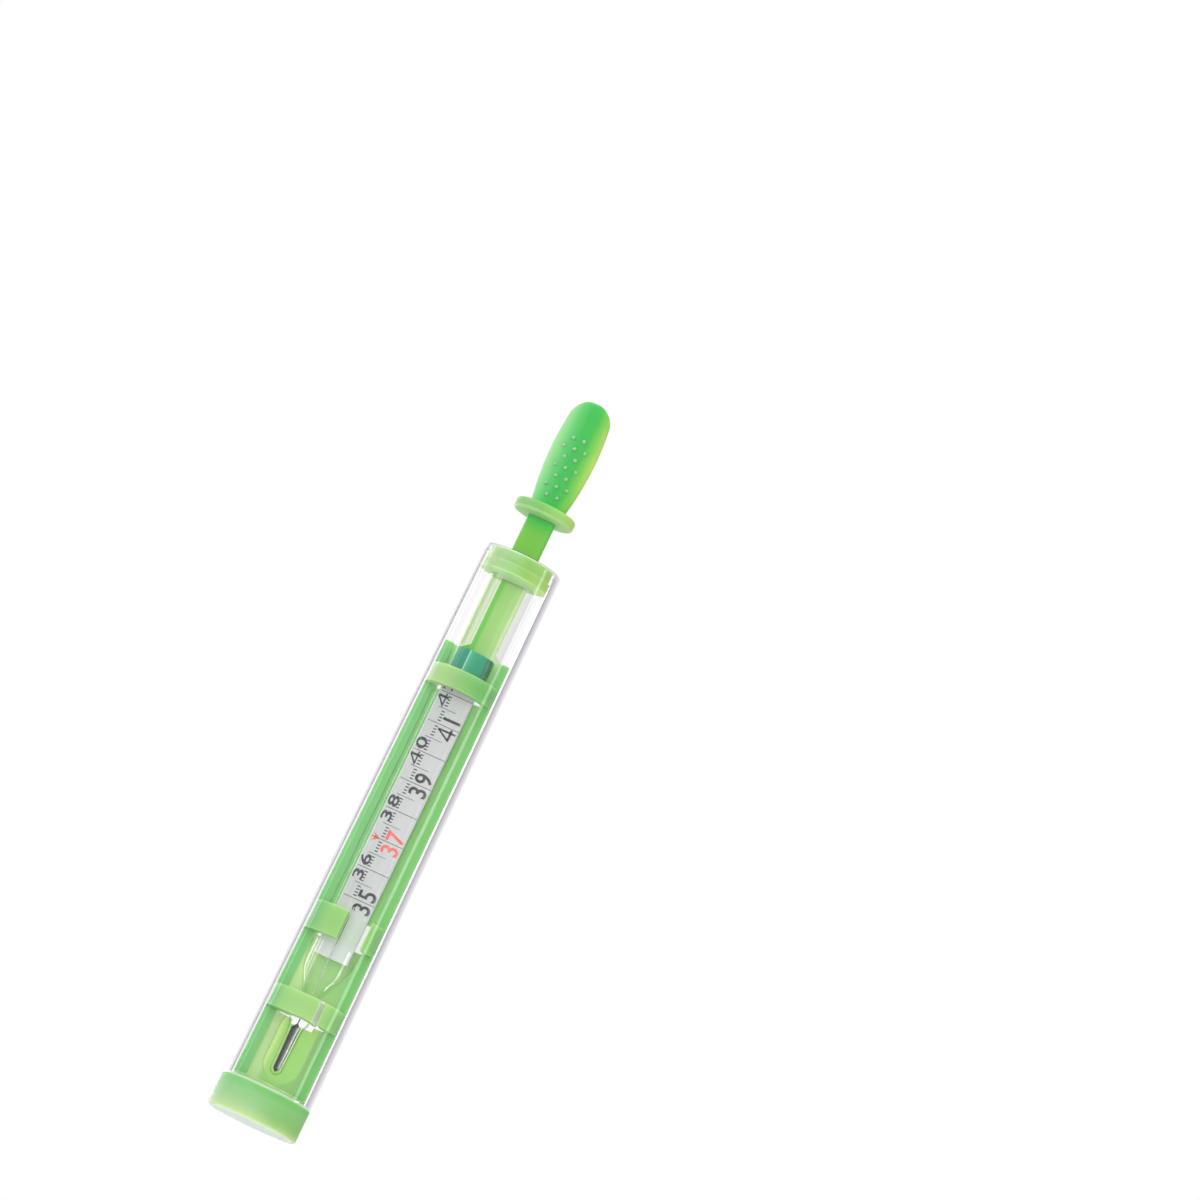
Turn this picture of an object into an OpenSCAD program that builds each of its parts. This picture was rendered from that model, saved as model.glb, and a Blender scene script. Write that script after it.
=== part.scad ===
// Clinical thermometer held in a green carriage inside a clear shake-down case.
// Millimetres. The origin is the centre of the cap's underside, +Z runs up the case,
// and the scale faces -Y.

/* [Case] */
// Outside diameter of the cap and of the tube's lower end
case_d = 20; // [19.6:0.1:22]
// Outside diameter of the tube's top end
tube_top_d = 18.1; // [17.6:0.1:18.6]
// Length of the tube that shows above the cap
tube_len = 124.5; // [123:0.1:136]
// Wall of the tube
tube_wall = 1.4; // [1.2:0.05:1.5]
// Length of the tube's neck inside the cap
neck_len = 4.5; // [3:0.1:6]
// Height of the inward lip at the tube's top
lip_h = 2.6; // [1.5:0.1:3.2]
// Bore of that lip
lip_bore = 14.5; // [14.2:0.1:14.8]
// Rounding of the tube's top outer edge
tube_round = 0.8; // [0.2:0.1:1.2]

/* [Cap] */
// Height of the cap
cap_h = 7.3; // [6.5:0.1:9]
// Floor of the cap
cap_floor = 1.4; // [1:0.1:2]
// Wall of the cap's skirt
cap_wall = 0.75; // [0.6:0.05:0.9]
// Outside diameter of the ring that seats the carriage
seat_d = 15; // [14:0.1:16]
// Wall of that ring
seat_wall = 1.5; // [1:0.1:2.5]
// Chamfer round the cap's lower edge
cap_chamfer = 0.4; // [0.1:0.1:0.7]

/* [Carriage] */
// Length of the tray, from its foot to the top of its side walls
tray_len = 102.4; // [100:0.1:104]
// Thickness of the foot at the tray's lower end
foot_h = 1.2; // [0.8:0.1:2]
// Depth of the side walls' rims in front of the case axis
rim_front = 0.5; // [0:0.1:1.5]
// Thickness of the back wall behind the glass
back_wall = 1.3; // [1:0.1:1.8]
// Width of the back strip above the tray
strip_w = 5.8; // [4.5:0.1:7]
// Thickness of the back strip
strip_t = 1; // [0.8:0.1:1.2]
// Height of the flare where the strip meets the tray
strip_flare = 1.8; // [1:0.1:3]
// Distance of the upper band's top edge below the tray's top
band_drop = 5.7; // [4:0.1:8]
// Height of the upper band
band_h = 4.2; // [2:0.1:4.6]
// Height of the middle clip's lower edge above the foot's underside
clip_z = 34.5; // [33.5:0.1:37]
// Height of the middle clip
clip_h = 6.3; // [4:0.1:8]
// Height of the neck clip's lower edge above the foot's underside
neck_clip_z = 16.5; // [16.4:0.1:17]
// Height of the neck clip
neck_clip_h = 4.9; // [3:0.1:5]
// Half the width of the windows behind the band and the clips
window_half = 5.5; // [4.5:0.1:5.6]
// Width of the bridge between the middle clip's two windows
window_bridge = 1; // [0.6:0.1:2]
// Right end of the middle clip's long finger
finger_end = 0.6; // [0:0.1:2]
// Left end of the middle clip's short finger
thumb_start = 5.8; // [4:0.1:5.9]
// Left side of the neck clip's slit
slit_x = 3.5; // [2.8:0.1:4]
// Width of the neck clip's slit
slit_w = 1.1; // [0.8:0.1:1.6]
// Width of the hollow behind the bulb
hollow_w = 8.4; // [6:0.1:9]
// Depth of that hollow
hollow_depth = 0.5; // [0.2:0.05:0.7]

/* [Head plug and grip] */
// Height of the plug's flange under the tube's lip
flange_h = 2.2; // [1.8:0.1:3]
// Width of the flat stem
stem_w = 6.3; // [5.4:0.1:7]
// Thickness of the flat stem
stem_t = 2.2; // [1.6:0.1:2.8]
// Depth of the stem in the plug
stem_depth = 3.4; // [2.5:0.1:3.6]
// Length of stem between the tube's top and the collar
stem_free = 9.7; // [5:0.1:12]
// Diameter of the collar
collar_d = 13.6; // [11:0.1:13.8]
// Thickness of the collar
collar_h = 2.4; // [2:0.1:4]
// Rounding of the collar's rims
collar_round = 0.7; // [0.3:0.1:0.9]
// Length of the paddle above the collar
paddle_len = 25.1; // [20:0.1:30]
// Width of the paddle at the collar
paddle_foot_w = 7.6; // [6:0.1:8.4]
// Greatest width of the paddle
paddle_w = 10.3; // [9:0.1:11]
// Height of the greatest width above the collar
paddle_wide_z = 13; // [10:0.1:14]
// Thickness of the paddle in its middle
paddle_t = 3.8; // [3.2:0.1:4.6]
// Thickness of the paddle at its edges
paddle_edge_t = 1.6; // [1:0.1:2]
// Diameter of a raised dot on the paddle
dot_d = 0.9; // [0.6:0.05:1.1]
// Height of a raised dot above the paddle's face
dot_h = 0.3; // [0.1:0.05:0.5]
// Height of the first row of dots above the collar
dot_first_z = 2.7; // [2:0.1:4]
// Distance between the dots of a row
dot_pitch = 2.4; // [1.6:0.05:2.6]
// Distance between the rows of dots
dot_row_gap = 2.25; // [1.6:0.05:2.5]
// Number of rows of dots
dot_rows = 7; // [3:1:8]

/* [Thermometer] */
// Height of the bulb's tip above the foot's top
bulb_lift = 2.6; // [2.3:0.1:3]
// Length of the bulb below its neck ring
bulb_len = 11.8; // [11:0.1:12.2]
// Diameter of the bulb's glass at its upper end
bulb_d = 3.3; // [2.9:0.1:3.7]
// Diameter of the bulb's glass at its tip
bulb_tip_d = 2.8; // [2.6:0.1:2.9]
// Glass wall of the bulb
bulb_wall = 0.65; // [0.5:0.05:0.8]
// Diameter of the sheath's neck and of the ring under it
sheath_neck_d = 4.6; // [4.4:0.1:4.8]
// Height of the ring that joins the bulb to the sheath
ring_h = 1; // [0.8:0.1:1.4]
// Length of the sheath's neck
sheath_neck_len = 5.3; // [5:0.1:5.6]
// Length of the funnel above the neck
funnel_len = 11.3; // [10:0.1:12]
// Width of the sheath
sheath_w = 11.7; // [11.2:0.1:11.9]
// Distance of the sheath's front ridge from the case axis
ridge_front = 5.2; // [4.9:0.1:5.4]
// Distance of the sheath's back from the case axis
sheath_back = 2.8; // [2.4:0.1:3]
// Radius of the two front facets
facet_r = 8.4; // [7.6:0.1:9]
// Radius of the back face
back_r = 14; // [12:0.5:20]
// Glass wall of the sheath
sheath_wall = 0.8; // [0.6:0.05:0.9]
// Gap between the sheath's top and the head plug
sheath_top_gap = 0.3; // [0.2:0.1:1]
// Rounding of the sheath's top corners
sheath_round = 1.8; // [0.8:0.1:2.4]
// Width of the scale plate
plate_w = 7.8; // [7:0.1:8.2]
// Thickness of the scale plate
plate_t = 0.6; // [0.4:0.05:0.8]
// Distance of the plate's front from the case axis
plate_front = 0.5; // [0.2:0.1:0.6]
// Length of the plate that shows below its holder
plate_len = 66.3; // [64:0.1:67]
// Height of the plate's lower edge above the bulb's tip
plate_z = 27; // [26:0.1:28]
// Height of the plate holder
plate_holder_h = 4.8; // [3:0.1:6]
// Depth of the plate in its holder
plate_depth = 1.4; // [1:0.1:2]
// Outside diameter of the capillary
capillary_d = 1.6; // [1.2:0.1:1.8]
// Bore of the capillary
capillary_bore = 0.3; // [0.2:0.02:0.4]
// Length of the liquid thread above the bulb at rest
thread_len = 26; // [20:0.5:28]

/* [Fits] */
// Gap between the carriage and the tube's bore
carriage_gap = 0.35; // [0.25:0.05:0.45]
// Gap between the cap's skirt and the tube's neck
cap_fit = 0.03; // [0.02:0.01:0.06]
// Gap between the head plug and the tube
plug_gap = 0.15; // [0.1:0.05:0.2]
// Gap round the glass in the carriage
glass_gap = 0.2; // [0.15:0.05:0.3]
// Gap round a piece that is pushed into another
push_fit = 0.03; // [0.02:0.01:0.05]
// Gap between the liquid and the glass round it
liquid_gap = 0.03; // [0.02:0.01:0.05]

/* [Hidden] */
$fn = 96;
over = 1;

clear_plastic = [0.9, 0.93, 0.95, 0.35];
fresh_green = [0.45, 0.78, 0.33];
teal = [0.1, 0.58, 0.45];
plate_white = [0.93, 0.94, 0.94];
glass_tint = [0.85, 0.93, 0.93, 0.4];
liquid_grey = [0.45, 0.46, 0.48];

// Heights along the case
tube_top = cap_h + tube_len;
lip_z = tube_top - lip_h;
flange_z = lip_z - flange_h;
foot_top = cap_h + foot_h;
tray_top = cap_h + tray_len;
collar_z = tube_top + stem_free;
paddle_z = collar_z + collar_h;
sheath_top = flange_z - sheath_top_gap;
bulb_z = foot_top + bulb_lift;
ring_z = bulb_z + bulb_len;
sheath_z = ring_z + ring_h;
funnel_z = sheath_z + sheath_neck_len;
plate_bottom = bulb_z + plate_z;
plate_holder_z = plate_bottom + plate_len;

// Radii of the tube
tube_r = case_d / 2;
tube_top_r = tube_top_d / 2;
bore_low_r = tube_r - tube_wall;
bore_top_r = tube_top_r - tube_wall;
neck_r = tube_r - cap_wall - cap_fit;
function bore_r(z) = bore_low_r + (bore_top_r - bore_low_r) * (z - cap_h) / tube_len;

// Depths from the case axis, front negative
capillary_y = -plate_front - capillary_d / 2 - push_fit;
back_y = sheath_back + glass_gap;
back_wall_y = back_y + back_wall;

// Facet circles pass through the ridge and touch the sheath's sides
facet_x = facet_r - sheath_w / 2;
facet_y = -ridge_front + sqrt(facet_r * facet_r - facet_x * facet_x);

// A leaf's side arc, from its half width and its half width at a distance from its middle
function leaf_r(rise, reach) = (reach * reach + rise * rise) / (2 * rise);
paddle_side_r = leaf_r((paddle_w - paddle_foot_w) / 2, paddle_wide_z);
paddle_face_r = leaf_r((paddle_t - paddle_edge_t) / 2, paddle_w / 2);

// The paddle's end arc runs smoothly into its two side arcs at the join
paddle_reach = paddle_len - paddle_wide_z;
paddle_arc_x = paddle_side_r - paddle_w / 2;
paddle_end_r = (paddle_side_r * paddle_side_r - paddle_arc_x * paddle_arc_x - paddle_reach * paddle_reach)
    / (2 * (paddle_side_r - paddle_reach));
paddle_end_z = paddle_len - paddle_end_r;
paddle_join_z = paddle_end_z + paddle_end_r * (paddle_end_z - paddle_wide_z) / (paddle_side_r - paddle_end_r);

function paddle_face_y(x) = paddle_t / 2 - paddle_face_r + sqrt(paddle_face_r * paddle_face_r - x * x);

// Spread of the funnel's outside, and the width of its slanted wall measured across the axis
funnel_slope = (sheath_w / 2 + sheath_wall - sheath_neck_d / 2) / funnel_len;
funnel_wall = sheath_wall * sqrt(1 + funnel_slope * funnel_slope);

module block(x0, x1, z, h, y0, y1) {
    translate([x0, y0, z]) cube([x1 - x0, y1 - y0, h]);
}

module along_y(y0, y1) {
    translate([0, y1, 0]) rotate([90, 0, 0]) linear_extrude(y1 - y0) children();
}

module sheath_section(grow) {
    intersection() {
        translate([facet_x, facet_y]) circle(facet_r + grow);
        translate([-facet_x, facet_y]) circle(facet_r + grow);
        translate([0, sheath_back - back_r]) circle(back_r + grow);
    }
}

module sheath_upright(half_w, top, corner) {
    translate([-half_w, 0]) square([2 * half_w, top - corner]);
    translate([corner - half_w, 0]) square([2 * (half_w - corner), top]);
    for (side = [-1, 1]) translate([side * (half_w - corner), top - corner]) circle(corner);
}

// Neck and funnel, turned about the capillary
module funnel(inset, inset_funnel, bottom) {
    neck = sheath_neck_d / 2 - inset;
    reach = sheath_top - funnel_z;
    translate([0, capillary_y, 0]) rotate_extrude() polygon([
        [0, bottom],
        [neck, bottom],
        [neck, funnel_z + (inset_funnel - inset) / funnel_slope],
        [neck + reach * funnel_slope - inset_funnel + inset, sheath_top],
        [0, sheath_top]
    ]);
}

module case_tube() {
    color(clear_plastic) difference() {
        union() {
            translate([0, 0, cap_h - neck_len]) cylinder(h = neck_len + over, r = neck_r);
            intersection() {
                translate([0, 0, cap_h]) cylinder(h = tube_len, r1 = tube_r, r2 = tube_top_r);
                rotate_extrude() {
                    translate([0, cap_h]) square([tube_r, tube_len - tube_round]);
                    square([tube_top_r - tube_round, tube_top]);
                    translate([tube_top_r - tube_round, tube_top - tube_round]) circle(tube_round);
                }
            }
        }
        translate([0, 0, cap_h]) cylinder(h = tube_len - lip_h, r1 = bore_low_r, r2 = bore_r(lip_z));
        translate([0, 0, cap_h - neck_len - over]) cylinder(h = neck_len + 2 * over, r = bore_low_r);
        translate([0, 0, lip_z - over]) cylinder(h = lip_h + 2 * over, d = lip_bore);
    }
}

module bottom_cap() {
    color(fresh_green) {
        difference() {
            union() {
                cylinder(h = cap_chamfer, r1 = tube_r - cap_chamfer, r2 = tube_r);
                translate([0, 0, cap_chamfer]) cylinder(h = cap_h - cap_chamfer, r = tube_r);
            }
            translate([0, 0, cap_floor]) cylinder(h = cap_h, r = tube_r - cap_wall);
        }
        difference() {
            cylinder(h = cap_h, d = seat_d);
            translate([0, 0, cap_floor]) cylinder(h = cap_h, d = seat_d - 2 * seat_wall);
        }
    }
}

module tray_blank(z, h) {
    translate([0, 0, z])
        cylinder(h = h, r1 = bore_r(z) - carriage_gap, r2 = bore_r(z + h) - carriage_gap);
}

module tray_opening(z, top) {
    block(-tube_r, tube_r, z, top - z, -tube_r, -rim_front);
}

module clip_windows() {
    band_from = tray_top - band_drop - band_h;
    clip_from = cap_h + clip_z;
    bridge_x = finger_end + window_bridge / 2;
    block(-window_half, window_half, band_from, band_h, 0, tube_r);
    block(-window_half, bridge_x - window_bridge / 2, clip_from, clip_h, 0, tube_r);
    block(bridge_x + window_bridge / 2, window_half, clip_from, clip_h, 0, tube_r);
    block(-window_half, window_half, cap_h + neck_clip_z, neck_clip_h, 0, tube_r);
}

module bulb_hollow() {
    low = bulb_z - over + hollow_w / 2;
    high = cap_h + neck_clip_z + neck_clip_h / 2 - hollow_w / 2;
    along_y(0, back_y + hollow_depth) {
        for (z = [low, high]) translate([0, z]) circle(d = hollow_w);
        translate([-hollow_w / 2, low]) square([hollow_w, high - low]);
    }
}

module tray_pocket(z, top) {
    translate([0, 0, z]) linear_extrude(top - z) sheath_section(glass_gap);
    tray_opening(z, top);
}

module neck_seat(z, h) {
    seat_r = sheath_neck_d / 2 + glass_gap;
    translate([0, capillary_y, z - over]) cylinder(h = h + 2 * over, r = seat_r);
    block(-seat_r, seat_r, z - over, h + 2 * over, capillary_y, tube_r);
    block(slit_x, slit_x + slit_w, z - over, h + 2 * over, -tube_r, over);
}

module tray() {
    clip_from = cap_h + clip_z;
    band_from = tray_top - band_drop - band_h;
    neck_clip_from = cap_h + neck_clip_z;
    neck_clip_top = neck_clip_from + neck_clip_h;
    difference() {
        tray_blank(cap_h, tray_len);
        tray_pocket(foot_top, neck_clip_from);
        translate([0, 0, neck_clip_top]) linear_extrude(tray_len) sheath_section(glass_gap);
        tray_opening(neck_clip_top, clip_from);
        tray_opening(clip_from + clip_h, band_from);
        tray_opening(band_from + band_h, tray_top + over);
        block(finger_end, thumb_start, clip_from - over, clip_h + 2 * over, -tube_r, 0);
        block(-tube_r, tube_r, foot_top, tray_len, back_wall_y, tube_r);
        clip_windows();
        neck_seat(neck_clip_from, neck_clip_h);
        bulb_hollow();
    }
}

module back_strip() {
    half = strip_w / 2;
    along_y(back_wall_y - strip_t, back_wall_y) {
        polygon([
            [-window_half, tray_top - over],
            [window_half, tray_top - over],
            [window_half, tray_top],
            [half, tray_top + strip_flare],
            [-half, tray_top + strip_flare],
            [-window_half, tray_top]
        ]);
        translate([-half, tray_top]) square([strip_w, lip_z - tray_top]);
    }
}

module carriage() {
    color(fresh_green) {
        tray();
        back_strip();
    }
}

module stem_section(grow) {
    straight = (stem_w - stem_t) / 2;
    for (side = [-1, 1]) translate([side * straight, 0]) circle(d = stem_t + 2 * grow);
    square([2 * straight, stem_t + 2 * grow], center = true);
}

module head_plug() {
    half = strip_w / 2 + push_fit;
    color(fresh_green) difference() {
        union() {
            translate([0, 0, flange_z]) cylinder(h = flange_h, r = bore_top_r - plug_gap);
            translate([0, 0, lip_z - over]) cylinder(h = lip_h + over, d = lip_bore - 2 * plug_gap);
        }
        translate([0, 0, tube_top - stem_depth]) linear_extrude(tube_len) stem_section(push_fit);
        block(-half, half, flange_z - over, flange_h + over + push_fit,
            back_wall_y - strip_t - push_fit, back_wall_y + push_fit);
    }
}

module collar() {
    flat = collar_h - 2 * collar_round;
    translate([0, 0, collar_z]) rotate_extrude() {
        square([collar_d / 2 - collar_round, collar_h]);
        translate([0, collar_round]) square([collar_d / 2, flat]);
        for (z = [collar_round, collar_h - collar_round])
            translate([collar_d / 2 - collar_round, z]) circle(collar_round);
    }
}

module paddle_outline() {
    intersection() {
        translate([paddle_arc_x, paddle_wide_z]) circle(paddle_side_r);
        translate([-paddle_arc_x, paddle_wide_z]) circle(paddle_side_r);
        union() {
            translate([-paddle_w, -over]) square([2 * paddle_w, paddle_join_z + over]);
            translate([0, paddle_end_z]) circle(paddle_end_r);
        }
    }
}

module dots() {
    for (row = [0 : dot_rows - 1]) {
        count = row % 2 == 0 ? 2 : 3;
        for (i = [0 : count - 1]) {
            x = (i - (count - 1) / 2) * dot_pitch;
            translate([x, 0, paddle_z + dot_first_z + row * dot_row_gap]) rotate([90, 0, 0])
                cylinder(h = 2 * (paddle_face_y(x) + dot_h), d = dot_d, center = true);
        }
    }
}

module paddle() {
    lens_y = paddle_face_r - paddle_t / 2;
    intersection() {
        translate([0, 0, paddle_z]) along_y(-paddle_t, paddle_t) paddle_outline();
        translate([0, lens_y, collar_z]) cylinder(h = 2 * paddle_len, r = paddle_face_r);
        translate([0, -lens_y, collar_z]) cylinder(h = 2 * paddle_len, r = paddle_face_r);
    }
}

module grip() {
    stem_z = tube_top - stem_depth;
    color(fresh_green) {
        translate([0, 0, stem_z]) linear_extrude(collar_z + collar_round - stem_z) stem_section(0);
        collar();
        paddle();
        dots();
    }
}

module glass_sheath() {
    inner_top = sheath_top - sheath_wall;
    color(glass_tint) difference() {
        intersection() {
            translate([0, 0, sheath_z]) linear_extrude(sheath_top - sheath_z) sheath_section(0);
            along_y(-tube_r, tube_r) sheath_upright(sheath_w / 2, sheath_top, sheath_round);
            funnel(0, 0, sheath_z);
        }
        intersection() {
            translate([0, 0, sheath_z - over])
                linear_extrude(inner_top - sheath_z + over) sheath_section(-sheath_wall);
            funnel(sheath_wall, funnel_wall, sheath_z - over);
        }
    }
}

module scale_plate() {
    color(plate_white)
        block(-plate_w / 2, plate_w / 2, plate_bottom, plate_len + plate_depth,
            -plate_front, plate_t - plate_front);
}

module plate_holder() {
    half = plate_w / 2 + push_fit;
    slot_h = plate_depth + push_fit;
    color(teal) difference() {
        intersection() {
            translate([0, 0, plate_holder_z])
                linear_extrude(plate_holder_h) sheath_section(-sheath_wall - push_fit);
            block(-half, half, plate_holder_z, plate_holder_h, -tube_r, tube_r);
        }
        block(-half - over, half + over, plate_holder_z - over, slot_h + over,
            -plate_front - push_fit, plate_t - plate_front + push_fit);
        translate([0, capillary_y, plate_holder_z - over])
            cylinder(h = slot_h + over, d = capillary_d + 2 * push_fit);
    }
}

// The hollow inside the bulb and the capillary, or the liquid in the bulb when it is inset
module bulb_space(inset, top) {
    top_r = bulb_d / 2 - bulb_wall - inset;
    tip_r = bulb_tip_d / 2 - bulb_wall - inset;
    bore = capillary_bore / 2 - inset;
    rotate_extrude() polygon([
        [0, bulb_z + bulb_wall + inset],
        [tip_r, bulb_z + bulb_wall + tip_r + inset],
        [top_r, ring_z - top_r],
        [bore, ring_z],
        [bore, top],
        [0, top]
    ]);
}

module capillary() {
    top = plate_holder_z + plate_depth;
    tip_r = bulb_tip_d / 2;
    color(glass_tint) translate([0, capillary_y, 0]) difference() {
        union() {
            translate([0, 0, bulb_z + tip_r]) sphere(tip_r);
            translate([0, 0, bulb_z + tip_r]) cylinder(h = ring_z - bulb_z - tip_r, r1 = tip_r, d2 = bulb_d);
            translate([0, 0, ring_z]) cylinder(h = ring_h, d = sheath_neck_d);
            translate([0, 0, ring_z]) cylinder(h = top - ring_z, d = capillary_d);
        }
        bulb_space(0, top + over);
    }
}

module bulb_liquid() {
    color(liquid_grey) translate([0, capillary_y, 0]) bulb_space(liquid_gap, sheath_z);
}

module liquid_thread() {
    color(liquid_grey) translate([0, capillary_y, sheath_z])
        cylinder(h = thread_len, d = capillary_bore - 2 * liquid_gap, $fn = 24);
}

case_tube();
bottom_cap();
carriage();
head_plug();
grip();
glass_sheath();
scale_plate();
plate_holder();
capillary();
bulb_liquid();
liquid_thread();
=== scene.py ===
"""Looks of a clinical thermometer in its clear shake-down case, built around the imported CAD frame."""

import math

import bmesh
import bpy
from mathutils import Matrix, Vector


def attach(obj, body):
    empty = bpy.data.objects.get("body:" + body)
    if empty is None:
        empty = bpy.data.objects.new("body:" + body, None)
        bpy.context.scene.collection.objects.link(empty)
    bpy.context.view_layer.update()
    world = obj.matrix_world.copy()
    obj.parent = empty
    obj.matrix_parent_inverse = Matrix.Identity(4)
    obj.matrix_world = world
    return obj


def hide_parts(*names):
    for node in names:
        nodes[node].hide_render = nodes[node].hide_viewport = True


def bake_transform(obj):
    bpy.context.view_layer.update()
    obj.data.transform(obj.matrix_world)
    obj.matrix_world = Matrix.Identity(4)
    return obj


MM = 0.001

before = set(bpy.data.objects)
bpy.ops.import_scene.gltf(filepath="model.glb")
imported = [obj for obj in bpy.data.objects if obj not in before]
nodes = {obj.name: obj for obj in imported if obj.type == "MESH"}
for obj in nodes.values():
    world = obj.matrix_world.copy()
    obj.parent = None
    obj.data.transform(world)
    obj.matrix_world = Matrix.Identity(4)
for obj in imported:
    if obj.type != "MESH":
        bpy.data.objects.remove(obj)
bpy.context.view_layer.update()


# Sizes in millimetres, as in the CAD model
CAP_TOP = 7.3
NECK_BOTTOM = 2.8
NECK_R = 9.22
TUBE_LOW_R = 10.0
TUBE_TOP_R = 9.05
TUBE_TOP = 131.8
TUBE_WALL = 1.4
TUBE_ROUND = 0.8
LIP_BORE_R = 7.25
LIP_Z = 129.2
RIM_LINE = 0.5
LIP_LINE = 0.3

STEM_Z = 128.4
STEM_W = 6.3
STEM_T = 2.2
COLLAR_Z = 141.5
COLLAR_H = 2.4
COLLAR_R = 6.8
COLLAR_ROUND = 0.7
PADDLE_Z = COLLAR_Z + COLLAR_H
PADDLE_LEN = 25.1
PADDLE_FOOT_W = 7.6
PADDLE_W = 10.3
PADDLE_WIDE_Z = 13.0
PADDLE_T = 3.8
PADDLE_EDGE_T = 1.6
PADDLE_TIP = 0.35
PADDLE_END_ROUND = 0.7
DOT_R = 0.45
DOT_H = 0.3
DOT_FIRST_Z = 2.7
DOT_PITCH = 2.4
DOT_ROW_GAP = 2.25
DOT_ROWS = 7

CAPILLARY_Y = -1.33
CAPILLARY_R = 0.8
CAPILLARY_TOP = 105.8
BULB_TIP_Z = 11.1
BULB_TIP_R = 1.4
BULB_TOP_R = 1.65
RING_Z = 22.9
SHEATH_Z = 23.9
SHEATH_NECK_R = 2.3
FUNNEL_Z = 29.2
FUNNEL_LEN = 11.3
SHEATH_TOP = 126.7
SHEATH_HALF_W = 5.85
SHEATH_RIDGE = 5.2
SHEATH_BACK = 2.8
SHEATH_WALL = 0.8
SHEATH_ROUND = 1.8
FACET_R = 8.4
BACK_R = 14.0
EDGE_SLOPE = 0.9

PLATE_FRONT_Y = -0.5
TRAY_TOP = 109.7
THREAD_TOP = 49.9
THREAD_R = 0.12

DEGREE_35_Z = 51.7
DEGREE_LEN = 6.82
LOWEST_DEGREE = 35
HIGHEST_DEGREE = 42
RED_DEGREE = 37


# Noise in the materials, in waves per metre
ZONE_NOISE = 130.0
GRAIN_NOISE = 2600.0
HAZE_NOISE = 300.0
OPAL_NOISE = 800.0
INK_NOISE = 1500.0
INK_GLOSS_NOISE = 2200.0
METAL_NOISE = 900.0
FLOOR_NOISE = 3.0
FLOOR_GLOSS_NOISE = 40.0

# Colour sockets of a mix node
COLOUR_A = 6
COLOUR_B = 7
COLOUR_OUT = 2


def grey(value):
    return (value, value, value, 1.0)


def srgb(red, green, blue):
    """An opaque linear colour from 0-255 screen values."""
    def linear(value):
        value /= 255
        return value / 12.92 if value <= 0.04045 else ((value + 0.055) / 1.055) ** 2.4
    return (linear(red), linear(green), linear(blue), 1.0)


def new_material(name):
    material = bpy.data.materials.new(name)
    material.use_nodes = True
    tree = material.node_tree
    tree.nodes.clear()
    return material, tree, tree.nodes.new("ShaderNodeOutputMaterial")


def add(tree, kind, inputs=None, **settings):
    """A new node. An input is a plain value or another node's output socket."""
    node = tree.nodes.new(kind)
    for name, value in settings.items():
        setattr(node, name, value)
    for name, value in (inputs or {}).items():
        if isinstance(value, bpy.types.NodeSocket):
            tree.links.new(value, node.inputs[name])
        else:
            node.inputs[name].default_value = value
    return node


def ramp(tree, factor, stops):
    """Colour output of a ramp with the given (position, colour) stops."""
    node = add(tree, "ShaderNodeValToRGB", {"Fac": factor})
    elements = node.color_ramp.elements
    while len(elements) < len(stops):
        elements.new(1.0)
    for element, (position, colour) in zip(elements, stops):
        element.position = position
        element.color = colour
    return node.outputs["Color"]


def noise(tree, scale, detail):
    place = add(tree, "ShaderNodeTexCoord").outputs["Object"]
    node = add(tree, "ShaderNodeTexNoise", {"Vector": place, "Scale": scale, "Detail": detail})
    return node.outputs["Fac"]


def spread(tree, value, low, high):
    """Value from 0-1 spread over low to high."""
    node = add(tree, "ShaderNodeMapRange", {"Value": value, "To Min": low, "To Max": high})
    return node.outputs["Result"]


def calculated(tree, operation, first, second):
    node = add(tree, "ShaderNodeMath", {0: first, 1: second}, operation=operation)
    return node.outputs["Value"]


def mix_shaders(tree, share, first, second):
    """Shader with the given share of the second and the rest of the first."""
    node = add(tree, "ShaderNodeMixShader", {"Fac": share, 1: first, 2: second})
    return node.outputs["Shader"]


def both_sides(distance):
    return (-distance, distance)


def place_along(tree, axis, limits):
    """Share of the way along an axis of the piece, between limits in millimetres."""
    low, high = limits
    place = add(tree, "ShaderNodeTexCoord").outputs["Object"]
    parts = add(tree, "ShaderNodeSeparateXYZ", {"Vector": place})
    along = add(tree, "ShaderNodeMapRange", {
        "Value": parts.outputs[axis],
        "From Min": low * MM,
        "From Max": high * MM,
    })
    return along.outputs["Result"]


def zoned(tree, axis, limits, wobble, stops):
    """Colour by place along an axis, with soft zones that the wobble makes uneven."""
    uneven = spread(tree, noise(tree, ZONE_NOISE, 2.0), 1 - wobble, 1 + wobble)
    along = place_along(tree, axis, limits)
    return ramp(tree, calculated(tree, "MULTIPLY", along, uneven), stops)


def switched(tree, axis, limits, first, second):
    """One colour up to the limits along an axis, and another beyond them."""
    mixed = add(tree, "ShaderNodeMix", {"Factor": place_along(tree, axis, limits)}, data_type="RGBA")
    tree.links.new(first, mixed.inputs[COLOUR_A])
    tree.links.new(second, mixed.inputs[COLOUR_B])
    return mixed.outputs[COLOUR_OUT]


def moulded_plastic(name, colour_of, roughness, milkiness):
    """Milky moulded plastic with a fine satin grain. It glows where it is thin."""
    material, tree, output = new_material(name)
    grain = noise(tree, GRAIN_NOISE, 3.0)
    bump = add(tree, "ShaderNodeBump", {"Strength": 0.06, "Distance": 0.0001, "Height": grain})
    shader = add(tree, "ShaderNodeBsdfPrincipled", {
        "Base Color": colour_of(tree),
        "Roughness": spread(tree, grain, roughness - 0.06, roughness + 0.06),
        "Specular IOR Level": 0.1,
        "Subsurface Weight": milkiness,
        "Subsurface Radius": (0.8, 1.0, 0.5),
        "Subsurface Scale": 0.003,
        "Normal": bump.outputs["Normal"],
    })
    tree.links.new(shader.outputs["BSDF"], output.inputs["Surface"])
    return material


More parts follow.
